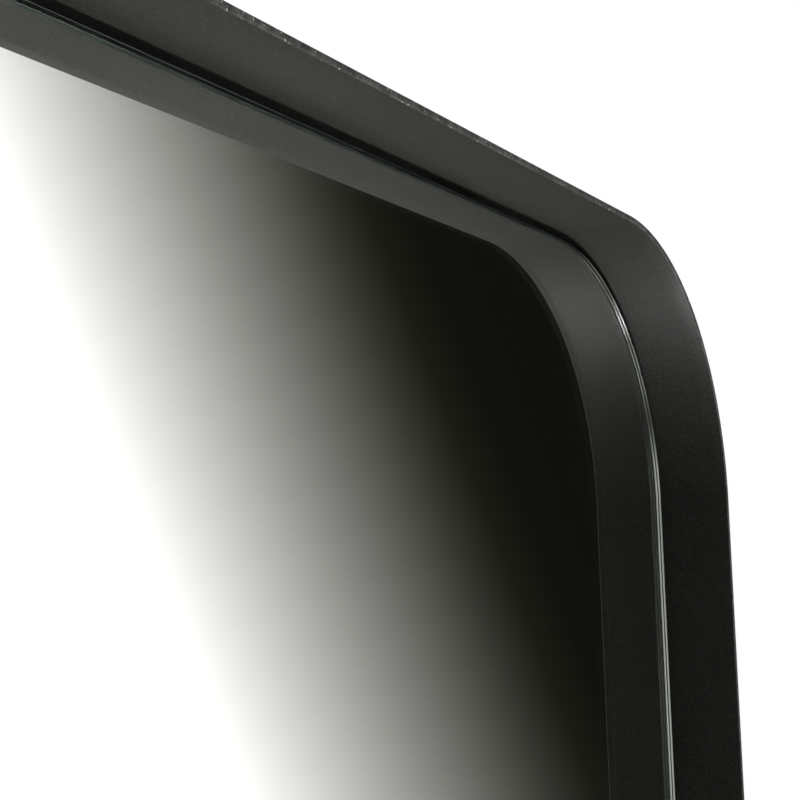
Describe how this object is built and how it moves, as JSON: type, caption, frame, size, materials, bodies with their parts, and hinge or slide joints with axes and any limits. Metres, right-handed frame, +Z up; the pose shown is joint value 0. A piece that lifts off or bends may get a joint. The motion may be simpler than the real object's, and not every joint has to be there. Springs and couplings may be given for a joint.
{
  "type": "wall mirror",
  "caption": "Flat wall mirror set back in a deep black steel band with rounded corners, hung by hinged D-rings behind.",
  "frame": {"origin": "centre of the overall box", "axes": "+X to the right as seen from the front, +Y from the glass towards the wall, +Z up; the mirror faces -Y"},
  "size_m": [0.6, 0.046, 0.8],
  "materials": {
    "painted_steel": "fine-grained matt black powder coat, with faint rubbing along the front edge",
    "glass": "clear float glass with a slight green cast and a ground, arrised edge",
    "silver": "flat silvering behind the glass",
    "film": "satin grey safety film over the paint that protects the silver",
    "foam_tape": "white closed-cell foam tape",
    "fibreboard": "black-faced fibreboard",
    "rubber": "matt black rubber",
    "zinc_steel": "bright zinc-plated steel"
  },
  "bodies": {
    "mirror_body": {"frame_band": "painted_steel", "mirror_glass": "glass", "silver_coating": "silver", "safety_film": "film", "bond_tape_1": "foam_tape", "bond_tape_2": "foam_tape", "bond_tape_3": "foam_tape", "bond_tape_4": "foam_tape", "bond_tape_5": "foam_tape", "setting_block_left": "rubber", "setting_block_right": "rubber", "backing_board": "fibreboard", "lug_top_left": "painted_steel", "lug_top_right": "painted_steel", "lug_bottom_left": "painted_steel", "lug_bottom_right": "painted_steel", "lug_left_1": "painted_steel", "lug_left_2": "painted_steel", "lug_right_1": "painted_steel", "lug_right_2": "painted_steel", "hanger_lug_left": "painted_steel", "hanger_lug_right": "painted_steel", "lug_screw_top_left": "zinc_steel", "lug_screw_top_right": "zinc_steel", "lug_screw_bottom_left": "zinc_steel", "lug_screw_bottom_right": "zinc_steel", "lug_screw_left_1": "zinc_steel", "lug_screw_left_2": "zinc_steel", "lug_screw_right_1": "zinc_steel", "lug_screw_right_2": "zinc_steel", "strap_screw_left_1": "zinc_steel", "strap_screw_left_2": "zinc_steel", "strap_screw_right_1": "zinc_steel", "strap_screw_right_2": "zinc_steel", "hanger_strap_left": "zinc_steel", "hanger_strap_right": "zinc_steel", "wall_buffer_top_left": "rubber", "wall_buffer_top_right": "rubber", "wall_buffer_bottom_left": "rubber", "wall_buffer_bottom_right": "rubber"},
    "ring_left": {"hanger_ring_left": "zinc_steel"},
    "ring_right": {"hanger_ring_right": "zinc_steel"}
  },
  "joints": [
    {"name": "ring_swing_left", "type": "hinge", "parent": "mirror_body", "child": "ring_left", "pos_m": [-0.281, 0.01875, 0.262], "axis": [1, 0, 0], "range_deg": [0, 180]},
    {"name": "ring_swing_right", "type": "hinge", "parent": "mirror_body", "child": "ring_right", "pos_m": [0.281, 0.01875, 0.262], "axis": [1, 0, 0], "range_deg": [0, 180]}
  ]
}
